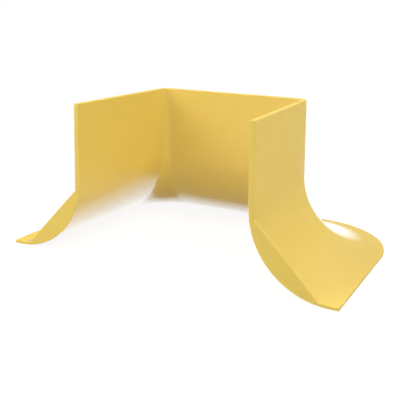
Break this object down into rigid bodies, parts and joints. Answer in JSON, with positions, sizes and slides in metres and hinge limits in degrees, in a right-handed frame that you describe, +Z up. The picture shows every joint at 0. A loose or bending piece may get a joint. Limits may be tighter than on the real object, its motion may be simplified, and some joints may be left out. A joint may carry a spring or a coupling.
{
  "type": "fibre raceway trumpet flare",
  "caption": "Three-sided moulded channel whose walls turn outward into a wide flare, guiding optical fibres out of a raceway on a gentle bend.",
  "frame": {"origin": "middle of the bounding box, on the surface that the lip stands on", "axes": "+X across the channel, +Y from the open side towards the back wall, +Z up from the lip to the rim"},
  "size_m": [0.1998, 0.1346, 0.0873],
  "materials": {
    "yellow_plastic": "satin"
  },
  "bodies": {
    "root": {"trumpet_flare": "yellow_plastic"}
  },
  "joints": []
}
